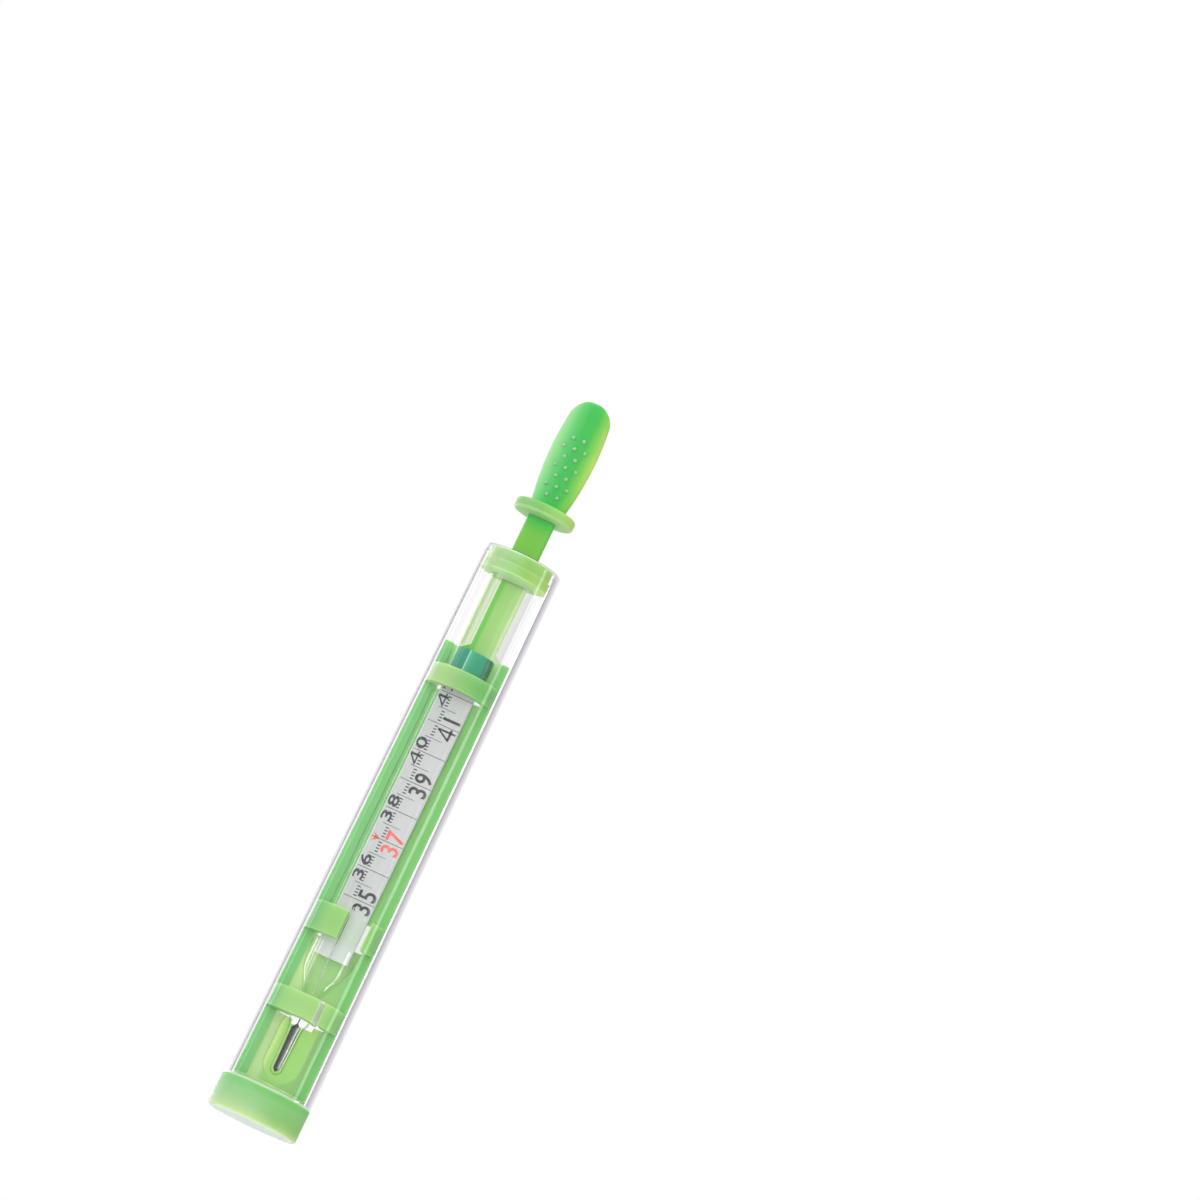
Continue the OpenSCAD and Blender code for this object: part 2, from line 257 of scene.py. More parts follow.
def see_through(name, stops, mirrored, sharpness, frost=0.0, across=None):
    """Clear wall: it tints what is behind it by how steeply it is met, and mirrors more at a glance.

    mirrored is the share that it mirrors head on, sharpness how late the rest comes in, and frost a milky
    share. With across, the tint goes by the place across the piece instead, up to that distance on both
    sides. Rays inside the wall aren't mirrored.
    """
    material, tree, output = new_material(name)
    facing = add(tree, "ShaderNodeLayerWeight", {"Blend": 0.5}).outputs["Facing"]
    tint_by = place_along(tree, "X", both_sides(across)) if across else facing
    clear = add(tree, "ShaderNodeBsdfTransparent", {"Color": ramp(tree, tint_by, stops)})
    haze = noise(tree, HAZE_NOISE, 2.0)
    milky = ramp(tree, haze, [(0.3, grey(0.93)), (0.7, grey(0.98))])
    lit_outside = add(tree, "ShaderNodeBsdfDiffuse", {"Color": milky})
    lit_inside = add(tree, "ShaderNodeBsdfTranslucent", {"Color": milky})
    milk = mix_shaders(tree, 0.5, lit_outside.outputs["BSDF"], lit_inside.outputs["BSDF"])
    mirror = add(tree, "ShaderNodeBsdfGlossy", {
        "Color": grey(1.0),
        "Roughness": spread(tree, haze, 0.02, 0.04),
    })
    glance = calculated(tree, "POWER", facing, sharpness)
    inside = add(tree, "ShaderNodeNewGeometry").outputs["Backfacing"]
    outside = calculated(tree, "SUBTRACT", 1.0, inside)
    mirror_share = calculated(tree, "MULTIPLY", spread(tree, glance, mirrored, 1.0), outside)
    frosted = mix_shaders(tree, frost, clear.outputs["BSDF"], milk)
    mixed = mix_shaders(tree, mirror_share, frosted, mirror.outputs["BSDF"])
    tree.links.new(mixed, output.inputs["Surface"])
    return material


def opal(name, colour_of):
    """Opal glass of the scale plate."""
    material, tree, output = new_material(name)
    shader = add(tree, "ShaderNodeBsdfPrincipled", {
        "Base Color": colour_of(tree),
        "Roughness": spread(tree, noise(tree, OPAL_NOISE, 2.0), 0.3, 0.42),
    })
    tree.links.new(shader.outputs["BSDF"], output.inputs["Surface"])
    return material


def ink(name, thin, full):
    """Printed ink, a little uneven where it is thin."""
    material, tree, output = new_material(name)
    shader = add(tree, "ShaderNodeBsdfPrincipled", {
        "Base Color": ramp(tree, noise(tree, INK_NOISE, 3.0), [(0.35, full), (0.75, thin)]),
        "Roughness": spread(tree, noise(tree, INK_GLOSS_NOISE, 2.0), 0.5, 0.65),
    })
    tree.links.new(shader.outputs["BSDF"], output.inputs["Surface"])
    return material


def liquid_metal(name, colour_of):
    """Smooth metallic liquid."""
    material, tree, output = new_material(name)
    shader = add(tree, "ShaderNodeBsdfPrincipled", {
        "Base Color": colour_of(tree),
        "Metallic": 1.0,
        "Roughness": spread(tree, noise(tree, METAL_NOISE, 2.0), 0.16, 0.26),
    })
    tree.links.new(shader.outputs["BSDF"], output.inputs["Surface"])
    return material


FLOOR_R = 0.6
FLOOR_Z = -0.075
FLOOR_FADE_FROM = 0.15
FLOOR_FADE_TO = 0.55
FLOOR_COLOURS = [(0.3, srgb(236, 236, 237)), (0.7, srgb(242, 242, 242))]


def pale_floor(name):
    """Pale matt floor that fades into the white studio and isn't seen from below."""
    material, tree, output = new_material(name)
    matt = add(tree, "ShaderNodeBsdfPrincipled", {
        "Base Color": ramp(tree, noise(tree, FLOOR_NOISE, 2.0), FLOOR_COLOURS),
        "Roughness": spread(tree, noise(tree, FLOOR_GLOSS_NOISE, 2.0), 0.75, 0.9),
    })
    clear = add(tree, "ShaderNodeBsdfTransparent")
    below = add(tree, "ShaderNodeNewGeometry").outputs["Backfacing"]
    place = add(tree, "ShaderNodeTexCoord").outputs["Object"]
    away = add(tree, "ShaderNodeVectorMath", {0: place}, operation="LENGTH").outputs["Value"]
    faded = add(tree, "ShaderNodeMapRange", {
        "Value": away,
        "From Min": FLOOR_FADE_FROM,
        "From Max": FLOOR_FADE_TO,
    }, interpolation_type="SMOOTHSTEP").outputs["Result"]
    gone = calculated(tree, "MAXIMUM", below, faded)
    mixed = mix_shaders(tree, gone, matt.outputs["BSDF"], clear.outputs["BSDF"])
    tree.links.new(mixed, output.inputs["Surface"])
    return material


CLEAR_EDGE = (0.64, 0.62, 0.65, 1.0)
CLEAR_MIDDLE = (0.77, 0.755, 0.78, 1.0)
CLEAR_RIM = (0.95, 0.95, 0.97, 1.0)

# Widths of the colour zones, many of them zones of painted light and shade, and the places where one colour
# fades into the next, in millimetres
CAP_RIGHT_X = (1.0, 6.0)
TRAY_HALF_W = 9.0
POCKET_HALF_W = 6.7
STRIP_HALF_W = 3.0
NECK_CLIP_START_Z = (18.0, 20.0)
NECK_CLIP_END_Z = (31.0, 33.0)
BAND_START_Z = (88.0, 92.0)
BEHIND_PLATE_Z = (42.0, 48.0)
STRIP_START_Z = (TRAY_TOP - 0.5, TRAY_TOP + 0.5)
SIDES_Y = (-1.4, -0.7)
INNER_Y = (0.4, 1.2)
BACK_Y = (4.4, 5.2)
PLUG_HALF_W = 8.0
PLUG_BODY_Z = (127.0, 127.3)
COLLAR_UNDER_Z = (COLLAR_Z - 0.1, COLLAR_Z)
COLLAR_BODY_Z = (COLLAR_Z + 0.3, COLLAR_Z + 0.7)
LEAF_Z = (PADDLE_Z - 0.1, PADDLE_Z + 0.1)
DOTS_Z = (144.0, 169.0)
TEAL_HALF_W = 4.0
PLATE_Z = (38.0, 106.0)
LIQUID_R = 0.95
THREAD_Z = (23.0, 60.0)


def cap_colour(tree):
    """Painted light: the lower edge is painted pale, as light from below, and the left is paler than the
    right, partly the plastic's uneven tone and partly painted light from the left.
    """
    left = zoned(tree, "Z", (0.0, CAP_TOP), 0.2, [
        (0.0, srgb(222, 244, 222)), (0.03, srgb(205, 230, 185)), (0.08, srgb(190, 220, 155)),
        (0.22, srgb(178, 214, 156)), (0.4, srgb(164, 208, 150)), (0.6, srgb(152, 206, 142)),
        (0.75, srgb(148, 204, 140)), (1.0, srgb(122, 194, 114)),
    ])
    right = zoned(tree, "Z", (0.0, CAP_TOP), 0.2, [
        (0.0, srgb(222, 244, 222)), (0.03, srgb(205, 230, 185)), (0.08, srgb(182, 216, 142)),
        (0.22, srgb(160, 207, 128)), (0.4, srgb(144, 203, 120)), (0.75, srgb(144, 205, 128)),
        (1.0, srgb(120, 194, 108)),
    ])
    return switched(tree, "X", CAP_RIGHT_X, left, right)


def tray_colour(tree):
    """Painted deeper green along the sides and back, where light passes through more of the plastic, and
    painted paler inside, where the pocket, the inner walls and the gaps beside the plate lie in shade:
    painted light that takes out that shade.

    The clips, whose left ends are painted darker as painted shade, the neck's clip with its slit painted
    white as painted light through it, the band and the strip have colours of their own. The strip has
    painted shade along its left edge, and a painted reflection makes its right side pale.
    """
    # Painted shade: the clips' left ends are painted darker, to take out the light on them.
    upper_clips = zoned(tree, "X", both_sides(TRAY_HALF_W), 0.04, [
        (0.0, srgb(84, 170, 90)), (0.12, srgb(92, 174, 94)), (0.24, srgb(132, 195, 112)),
        (0.34, srgb(152, 201, 124)), (0.5, srgb(150, 202, 120)), (0.68, srgb(158, 208, 126)),
        (0.8, srgb(162, 211, 124)), (0.88, srgb(134, 200, 108)), (1.0, srgb(120, 194, 100)),
    ])
    # The neck clip's slit is painted white, as painted light showing through it.
    neck_clip = zoned(tree, "X", both_sides(TRAY_HALF_W), 0.0, [
        (0.0, srgb(84, 170, 90)), (0.12, srgb(100, 180, 98)), (0.26, srgb(150, 204, 122)),
        (0.4, srgb(160, 205, 130)), (0.692, srgb(166, 210, 130)), (0.694, srgb(250, 254, 248)),
        (0.756, srgb(250, 254, 248)), (0.758, srgb(166, 211, 132)), (0.9, srgb(140, 203, 112)),
        (1.0, srgb(120, 194, 100)),
    ])
    band = zoned(tree, "X", both_sides(TRAY_HALF_W), 0.03, [
        (0.0, srgb(140, 196, 116)), (0.2, srgb(168, 206, 138)), (0.32, srgb(166, 204, 136)),
        (0.5, srgb(147, 194, 126)), (0.68, srgb(132, 194, 114)), (0.76, srgb(120, 192, 104)),
        (1.0, srgb(112, 190, 96)),
    ])
    rims = zoned(tree, "X", both_sides(TRAY_HALF_W), 0.05, [
        (0.0, srgb(128, 196, 127)), (0.2, srgb(131, 197, 128)), (0.8, srgb(128, 195, 115)),
        (1.0, srgb(124, 193, 110)),
    ])
    low_front = switched(tree, "Z", NECK_CLIP_START_Z, upper_clips, neck_clip)
    clips = switched(tree, "Z", NECK_CLIP_END_Z, low_front, upper_clips)
    front = switched(tree, "Z", BAND_START_Z, clips, band)
    # Painted light: the pocket and the space behind the plate are painted paler towards the walls, to take
    # out their shade.
    pocket = zoned(tree, "X", both_sides(POCKET_HALF_W), 0.01, [
        (0.0, srgb(138, 203, 136)), (0.05, srgb(228, 244, 202)), (0.2, srgb(214, 236, 184)),
        (0.28, srgb(180, 216, 148)), (0.4, srgb(176, 214, 146)), (0.68, srgb(172, 212, 144)),
        (0.84, srgb(178, 216, 150)), (0.95, srgb(200, 228, 172)), (1.0, srgb(132, 199, 120)),
    ])
    behind_plate = zoned(tree, "X", both_sides(POCKET_HALF_W), 0.01, [
        (0.0, srgb(138, 203, 136)), (0.05, srgb(184, 238, 178)), (0.2, srgb(182, 232, 160)),
        (0.33, srgb(184, 221, 150)), (0.68, srgb(178, 226, 148)), (0.84, srgb(192, 248, 166)),
        (0.95, srgb(200, 252, 180)), (1.0, srgb(132, 199, 120)),
    ])
    inner = switched(tree, "Z", BEHIND_PLATE_Z, pocket, behind_plate)
    # Painted shade along the strip's left edge, and a painted reflection that pales its right side.
    strip = zoned(tree, "X", both_sides(STRIP_HALF_W), 0.05, [
        (0.0, srgb(116, 192, 86)), (0.16, srgb(118, 192, 88)), (0.24, srgb(164, 201, 130)),
        (0.6, srgb(170, 204, 139)), (0.82, srgb(188, 216, 163)), (1.0, srgb(220, 233, 207)),
    ])
    sides = switched(tree, "Y", SIDES_Y, front, rims)
    hollow = switched(tree, "Y", INNER_Y, sides, inner)
    tray = switched(tree, "Y", BACK_Y, hollow, rims)
    return switched(tree, "Z", STRIP_START_Z, tray, strip)


def plug_colour(tree):
    """Paler on the left and lime on the right, partly the plastic's uneven tone and partly painted light and
    shade. The underside is painted paler, as painted light from below.
    """
    under = zoned(tree, "X", both_sides(PLUG_HALF_W), 0.06, [
        (0.0, srgb(210, 240, 180)), (0.2, srgb(176, 228, 146)), (0.35, srgb(198, 240, 178)),
        (0.5, srgb(182, 236, 156)), (0.65, srgb(196, 240, 166)), (0.8, srgb(186, 232, 122)),
        (1.0, srgb(190, 236, 126)),
    ])
    body = zoned(tree, "X", both_sides(PLUG_HALF_W), 0.06, [
        (0.0, srgb(192, 214, 160)), (0.2, srgb(170, 205, 146)), (0.4, srgb(164, 203, 142)),
        (0.55, srgb(158, 205, 126)), (0.7, srgb(150, 199, 104)), (0.85, srgb(162, 212, 112)),
        (1.0, srgb(168, 218, 100)),
    ])
    return switched(tree, "Z", PLUG_BODY_Z, under, body)


def grip_colour(tree):
    """Lime stem, painted greener and lighter under the collar to take out the collar's shade. The collar's
    underside is painted pale, as painted light from below. Collar and leaf go from mint to lime across,
    partly the plastic's uneven tone and partly painted light, with painted highlights along both edges of
    the leaf.
    """
    stem = zoned(tree, "Z", (STEM_Z, COLLAR_Z), 0.02, [
        (0.0, srgb(132, 198, 90)), (0.72, srgb(132, 199, 92)), (0.95, srgb(90, 200, 96)),
    ])
    under = zoned(tree, "X", both_sides(COLLAR_R), 0.05, [
        (0.0, srgb(172, 216, 150)), (0.5, srgb(168, 214, 142)), (1.0, srgb(186, 222, 150)),
    ])
    collar = zoned(tree, "X", both_sides(COLLAR_R), 0.05, [
        (0.0, srgb(142, 193, 124)), (0.25, srgb(138, 190, 118)), (0.5, srgb(131, 189, 108)),
        (0.75, srgb(158, 205, 120)), (1.0, srgb(180, 218, 116)),
    ])
    leaf = zoned(tree, "X", both_sides(PADDLE_W / 2), 0.05, [
        (0.0, srgb(172, 224, 164)), (0.12, srgb(150, 214, 146)), (0.3, srgb(104, 200, 116)),
        (0.5, srgb(76, 189, 95)), (0.7, srgb(84, 190, 90)), (0.86, srgb(134, 204, 96)),
        (1.0, srgb(186, 220, 112)),
    ])
    low = switched(tree, "Z", COLLAR_UNDER_Z, stem, under)
    middle = switched(tree, "Z", COLLAR_BODY_Z, low, collar)
    return switched(tree, "Z", LEAF_Z, middle, leaf)


# Dots painted pale, as painted highlights on their domes, a little paler towards the leaf's end.
def dot_colour(tree):
    return zoned(tree, "Z", DOTS_Z, 0.1, [
        (0.0, srgb(150, 218, 146)), (1.0, srgb(166, 224, 156)),
    ])


def teal_colour(tree):
    """Dark teal, painted lighter on the left and darker on the right as painted light and shade, with a
    painted highlight left of its middle where the glass's ridge in front of it shines.
    """
    return zoned(tree, "X", both_sides(TEAL_HALF_W), 0.03, [
        (0.0, srgb(70, 178, 152)), (0.2, srgb(26, 152, 124)), (0.38, srgb(22, 150, 118)),
        (0.4, srgb(170, 224, 206)), (0.42, srgb(150, 214, 192)), (0.44, srgb(76, 176, 142)),
        (0.62, srgb(48, 162, 124)), (0.84, srgb(40, 161, 118)), (0.9, srgb(0, 126, 88)),
        (1.0, srgb(0, 118, 80)),
    ])


def plate_colour(tree):
    """White opal, with painted green light from the tray, a little lighter, at its lower end."""
    return zoned(tree, "Z", PLATE_Z, 0.04, [
        (0.0, srgb(216, 222, 218)), (0.08, srgb(208, 221, 209)), (0.17, srgb(203, 210, 205)),
        (0.22, srgb(199, 202, 201)), (0.6, srgb(201, 204, 203)), (1.0, srgb(205, 207, 206)),
    ])


def bulb_colour(tree):
    """Painted reflection: dark on the left, with a painted bright streak on the right."""
    return zoned(tree, "X", both_sides(LIQUID_R), 0.1, [
        (0.0, grey(0.01)), (0.35, grey(0.015)), (0.6, grey(0.12)), (0.85, grey(0.42)), (1.0, grey(0.2)),
    ])


def thread_colour(tree):
    """Pale up to the first mark, and dark beyond it so that it can be read."""
    return zoned(tree, "Z", THREAD_Z, 0.02, [
        (0.0, grey(0.42)), (0.12, grey(0.6)), (0.72, grey(0.6)), (0.8, grey(0.16)),
    ])


green_cap = moulded_plastic("green_cap", cap_colour, roughness=0.5, milkiness=0.8)
green_tray = moulded_plastic("green_tray", tray_colour, roughness=0.36, milkiness=1.0)
green_plug = moulded_plastic("green_plug", plug_colour, roughness=0.36, milkiness=0.8)
green_grip = moulded_plastic("green_grip", grip_colour, roughness=0.46, milkiness=0.5)
pale_dots = moulded_plastic("pale_dots", dot_colour, roughness=0.3, milkiness=0.5)
teal_plastic = moulded_plastic("teal_plastic", teal_colour, roughness=0.36, milkiness=0.1)
tube_wall = see_through("tube_wall", [
    (0.0, grey(0.99)), (0.45, grey(0.985)), (0.49, CLEAR_EDGE), (0.62, CLEAR_MIDDLE), (1.0, CLEAR_RIM),
], mirrored=0.04, sharpness=5.0)
tube_bore = see_through("tube_bore", [
    (0.0, grey(0.99)), (0.7, grey(0.98)), (1.0, CLEAR_RIM),
], mirrored=0.02, sharpness=5.0)
tube_edge = see_through("tube_edge", [
    (0.0, grey(1.0)), (1.0, CLEAR_RIM),
], mirrored=0.06, sharpness=4.0, frost=0.9)
SHEATH_TINT = [
    (0.0, grey(0.985)), (0.12, grey(0.98)), (0.22, grey(0.92)), (0.38, grey(0.91)), (0.48, grey(0.96)),
    (1.0, grey(0.92)),
]
sheath_glass = see_through("sheath_glass", SHEATH_TINT, mirrored=0.015, sharpness=5.0)
funnel_glass = see_through("funnel_glass", SHEATH_TINT, mirrored=0.06, sharpness=3.0)
edge_glass = see_through("edge_glass", [
    (0.0, grey(0.97)), (0.7, grey(0.95)), (1.0, grey(0.9)),
], mirrored=0.02, sharpness=8.0, frost=0.1)
# Painted shade on the glass's head, by place across it: dark at both edges, green-tinted on the left and
# greyer towards the right.
head_glass = see_through("head_glass", [
    (0.0, grey(0.66)), (0.03, (0.72, 0.78, 0.65, 1.0)), (0.1, (0.71, 0.81, 0.6, 1.0)),
    (0.24, (0.67, 0.83, 0.52, 1.0)), (0.27, grey(0.985)), (0.72, grey(0.985)),
    (0.77, (0.88, 0.93, 0.83, 1.0)), (0.84, grey(0.915)), (0.92, grey(0.88)), (0.97, grey(0.86)),
    (1.0, grey(0.74)),
], mirrored=0.015, sharpness=4.0, across=SHEATH_HALF_W)
fine_glass = see_through("capillary_glass", [
    (0.0, grey(1.0)), (0.8, grey(0.99)), (1.0, grey(0.95)),
], mirrored=0.01, sharpness=4.0)
bulb_glass = see_through("bulb_glass", [
    (0.0, grey(1.0)), (0.34, grey(0.98)), (0.44, grey(0.8)), (0.58, grey(0.74)), (0.68, grey(0.95)),
    (1.0, grey(0.95)),
], mirrored=0.03, sharpness=3.0)
plate_white = opal("plate_white", plate_colour)
dark_ink = ink("dark_ink", srgb(78, 80, 86), srgb(42, 44, 50))
red_ink = ink("red_ink", srgb(250, 128, 116), srgb(240, 96, 90))
bulb_metal = liquid_metal("bulb_metal", bulb_colour)
thread_metal = liquid_metal("thread_metal", thread_colour)


def finish_mesh(name, bm, materials, sharp_degrees):
    """The bmesh as a smooth-shaded object with edges over that angle kept sharp."""
    bmesh.ops.recalc_face_normals(bm, faces=bm.faces)
    mesh = bpy.data.meshes.new(name)
    bm.to_mesh(mesh)
    bm.free()
    for material in materials:
        mesh.materials.append(material)
    mesh.polygons.foreach_set("use_smooth", [True] * len(mesh.polygons))
    mesh.set_sharp_from_angle(angle=math.radians(sharp_degrees))
    obj = bpy.data.objects.new(name, mesh)
    bpy.context.scene.collection.objects.link(obj)
    return obj


def skin(bm, rings, closed=False, material_of=None):
    """Quads between rings of points in millimetres. A ring of one point is a tip."""
    made = [[bm.verts.new(Vector(point) * MM) for point in ring] for ring in rings]
    pairs = list(zip(made, made[1:]))
    if closed:
        pairs.append((made[-1], made[0]))
    for index, (low, high) in enumerate(pairs):
        count = max(len(low), len(high))
        for i in range(count):
            j = (i + 1) % count
            if len(low) == 1:
                face = bm.faces.new((low[0], high[j], high[i]))
            elif len(high) == 1:
                face = bm.faces.new((low[i], low[j], high[0]))
            else:
                face = bm.faces.new((low[i], low[j], high[j], high[i]))
            face.material_index = material_of(index) if material_of else 0
    return made


def turned_rings(profile, segments, centre_y=0.0):
    """Rings of a turned shape from (radius, height) points."""
    rings = []
    for radius, height in profile:
        if radius == 0:
            rings.append([(0.0, centre_y, height)])
            continue
        angles = [2 * math.pi * i / segments for i in range(segments)]
        rings.append([(radius * math.cos(a), centre_y + radius * math.sin(a), height) for a in angles])
    return rings


def arc(centre_r, centre_z, radius, start, end, steps):
    """Profile points on an arc, with angles in degrees from the outward direction."""
    angles = [math.radians(start + (end - start) * i / steps) for i in range(steps + 1)]
    return [(centre_r + radius * math.cos(a), centre_z + radius * math.sin(a)) for a in angles]


def lets_light_through(piece):
    """Clear pieces leave the light on what they hold as it is."""
    piece.visible_shadow = False
    piece.visible_diffuse = False


TUBE_SEGMENTS = 144
TUBE_STEPS = 24


def make_tube():
    """Clear tube with its neck, rounded top edge and inward lip."""
    def outer_r(height):
        return TUBE_LOW_R + (TUBE_TOP_R - TUBE_LOW_R) * (height - CAP_TOP) / (TUBE_TOP - CAP_TOP)
    round_z = TUBE_TOP - TUBE_ROUND
    body = [CAP_TOP + (round_z - CAP_TOP) * i / TUBE_STEPS for i in range(TUBE_STEPS + 1)]
    bore = [CAP_TOP + (LIP_Z - CAP_TOP) * i / TUBE_STEPS for i in range(TUBE_STEPS + 1)]
    outside = [(NECK_R, NECK_BOTTOM), (NECK_R, CAP_TOP), (TUBE_LOW_R - RIM_LINE / 2, CAP_TOP)]
    low_edge = len(outside) - 1
    above_rim = [CAP_TOP + RIM_LINE, CAP_TOP + 1.5 * RIM_LINE]
    outside += [(outer_r(z), z) for z in above_rim + body[1:]]
    outside += arc(outer_r(round_z) - TUBE_ROUND, round_z, TUBE_ROUND, start=15, end=90, steps=5)
    outside.append((LIP_BORE_R, TUBE_TOP))
    lip_edge = len(outside) - 1
    inside = [(LIP_BORE_R, TUBE_TOP - LIP_LINE), (LIP_BORE_R, LIP_Z)]
    inside += [(outer_r(z) - TUBE_WALL, z) for z in reversed(bore)]
    inside.append((TUBE_LOW_R - TUBE_WALL, NECK_BOTTOM))
    materials = [tube_wall, tube_bore, tube_edge]

    def surface(index):
        if index in (low_edge, lip_edge):
            return materials.index(tube_edge)
        return materials.index(tube_wall if index < lip_edge else tube_bore)

    bm = bmesh.new()
    skin(bm, turned_rings(outside + inside, TUBE_SEGMENTS), closed=True, material_of=surface)
    tube = finish_mesh("tube", bm, materials, sharp_degrees=35)
    lets_light_through(tube)
    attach(tube, "case")
    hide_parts("case_tube")


def circle_exit(origin, direction, centre, radius):
    """Distance along a direction from a point inside a circle to the circle."""
    to_centre = origin - centre
    along = to_centre.dot(direction)
    return -along + math.sqrt(along * along - to_centre.dot(to_centre) + radius * radius)


def soft_least(values, power):
    """Least of the values, rounded where two are close. A higher power is crisper."""
    return sum(value ** -power for value in values) ** (-1 / power)


SHEATH_SEGMENTS = 120
SHEATH_CRISPNESS = 36.0
LEAST_ACROSS = 0.01
FUNNEL_LEAD = 1.5
FUNNEL_STEP = 0.5
FUNNEL_RINGS = 34
BODY_Z = 50.0
BODY_STEP = 5.0
BODY_RINGS = 12
HEAD_HEIGHTS = [112.0, 116.0, 120.0]
ROUND_STEPS = 10


def sheath_ring(height, count):
    """Section of the glass at a height.

    It has two front facets and a back, cut by the funnel and by the rounding of the top.
    """
    facet_x = FACET_R - SHEATH_HALF_W
    facet_y = -SHEATH_RIDGE + math.sqrt(FACET_R ** 2 - facet_x ** 2)
    circles = [
        (Vector((facet_x, facet_y)), FACET_R),
        (Vector((-facet_x, facet_y)), FACET_R),
        (Vector((0.0, SHEATH_BACK - BACK_R)), BACK_R),
    ]
    slope = (SHEATH_HALF_W + SHEATH_WALL - SHEATH_NECK_R) / FUNNEL_LEN
    funnel_r = SHEATH_NECK_R + max(0.0, height - FUNNEL_Z) * slope
    into_round = max(0.0, height - (SHEATH_TOP - SHEATH_ROUND))
    drop = SHEATH_ROUND - math.sqrt(max(0.0, SHEATH_ROUND ** 2 - into_round ** 2))
    half_w = SHEATH_HALF_W - drop
    origin = Vector((0.0, CAPILLARY_Y))
    points = []
    for i in range(count):
        angle = 2 * math.pi * i / count - math.pi / 2
        direction = Vector((math.cos(angle), math.sin(angle)))
        limits = [circle_exit(origin, direction, centre, radius) for centre, radius in circles]
        limits.append(funnel_r)
        if into_round > 0 and abs(direction.x) > LEAST_ACROSS:
            limits.append(half_w / abs(direction.x))
        reach = soft_least(limits, SHEATH_CRISPNESS)
        points.append((reach * direction.x, CAPILLARY_Y + reach * direction.y, height))
    return points


def make_sheath():
    """Prismatic glass body with its funnel and neck."""
    heights = [SHEATH_Z, SHEATH_Z + FUNNEL_STEP]
    heights += [FUNNEL_Z - FUNNEL_LEAD + FUNNEL_STEP * i for i in range(FUNNEL_RINGS)]
    heights += [BODY_Z + BODY_STEP * i for i in range(BODY_RINGS)] + [TRAY_TOP] + HEAD_HEIGHTS
    turns = [math.pi / 2 * i / ROUND_STEPS for i in range(ROUND_STEPS + 1)]
    heights += [SHEATH_TOP - SHEATH_ROUND * (1 - math.sin(turn)) for turn in turns]
    materials = [sheath_glass, edge_glass, fine_glass, head_glass, funnel_glass]
    bm = bmesh.new()
    made = skin(bm, [sheath_ring(height, SHEATH_SEGMENTS) for height in heights])
    for face in bm.faces:
        face.normal_update()
        sideways = abs(face.normal.x) / face.normal.xy.length
        height = face.calc_center_median().z / MM
        if height > TRAY_TOP:
            face.material_index = materials.index(head_glass)
        elif height < FUNNEL_Z + FUNNEL_LEN:
            face.material_index = materials.index(funnel_glass)
        elif sideways > EDGE_SLOPE:
            face.material_index = materials.index(edge_glass)
    top = bm.faces.new(made[-1])
    top.material_index = materials.index(fine_glass)
    sheath = finish_mesh("sheath", bm, materials, sharp_degrees=40)
    lets_light_through(sheath)
    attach(sheath, "holder")
    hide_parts("glass_sheath")


CAPILLARY_SEGMENTS = 48
SHOULDER_LEN = 1.4
SHOULDER_FLARE = 0.25
SHOULDER_FLARE_LEN = 0.5
RING_CHAMFER = 0.15
RING_CHAMFER_LEN = 0.3
JOIN_FLARE = 0.3
JOIN_Z = SHEATH_Z + 0.05
JOIN_END_Z = SHEATH_Z + 0.8


def make_capillary():
    """Slim bulb, the ring that joins it to the sheath, and the capillary in front of the plate."""
    profile = [(0, BULB_TIP_Z)]
    profile += arc(0, BULB_TIP_Z + BULB_TIP_R, BULB_TIP_R, start=-80, end=-5, steps=8)
    profile += [
        (BULB_TOP_R, RING_Z - SHOULDER_LEN),
        (BULB_TOP_R + SHOULDER_FLARE, RING_Z - SHOULDER_FLARE_LEN),
        (SHEATH_NECK_R - RING_CHAMFER, RING_Z),
        (SHEATH_NECK_R, RING_Z + RING_CHAMFER_LEN),
        (SHEATH_NECK_R, SHEATH_Z),
        (CAPILLARY_R + JOIN_FLARE, JOIN_Z),
    ]
    bulb_end = len(profile)
    profile += [(CAPILLARY_R, JOIN_END_Z), (CAPILLARY_R, CAPILLARY_TOP), (0, CAPILLARY_TOP)]
    materials = [fine_glass, bulb_glass]

    def surface(index):
        return materials.index(bulb_glass if index < bulb_end else fine_glass)

    bm = bmesh.new()
    skin(bm, turned_rings(profile, CAPILLARY_SEGMENTS, CAPILLARY_Y), material_of=surface)
    capillary = finish_mesh("capillary_tube", bm, materials, sharp_degrees=50)
    lets_light_through(capillary)
    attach(capillary, "holder")
    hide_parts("capillary")


THREAD_SEGMENTS = 16
THREAD_STEPS = 40
THREAD_FOOT_Z = SHEATH_Z - 0.1
THREAD_CROWN_Z = THREAD_TOP + 0.08


def make_thread():
    """Thread of liquid from the bulb's neck up to its top."""
    heights = [SHEATH_Z + (THREAD_TOP - SHEATH_Z) * i / THREAD_STEPS for i in range(THREAD_STEPS + 1)]
    profile = [(0, THREAD_FOOT_Z)] + [(THREAD_R, z) for z in heights] + [(0, THREAD_CROWN_Z)]
    bm = bmesh.new()
    skin(bm, turned_rings(profile, THREAD_SEGMENTS, CAPILLARY_Y))
    thread = finish_mesh("thread", bm, [thread_metal], sharp_degrees=50)
    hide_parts("liquid_thread")
    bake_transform(thread)


PADDLE_SEGMENTS = 72
PADDLE_SIDE_STEPS = 40
PADDLE_END_STEPS = 16
PADDLE_ROOT = 0.3
PADDLE_SPACING = 0.55
PADDLE_EDGE_POWER = 9
PADDLE_LEAST_END = 0.04
NEAR_ZERO = 1e-6
COLLAR_SEGMENTS = 96
COLLAR_FLAT_EDGE = 0.4
STEM_SEGMENTS = 32
STEM_STEPS = 10
STEM_ROOT = 0.3
DOTS_PER_ROW = (2, 3)


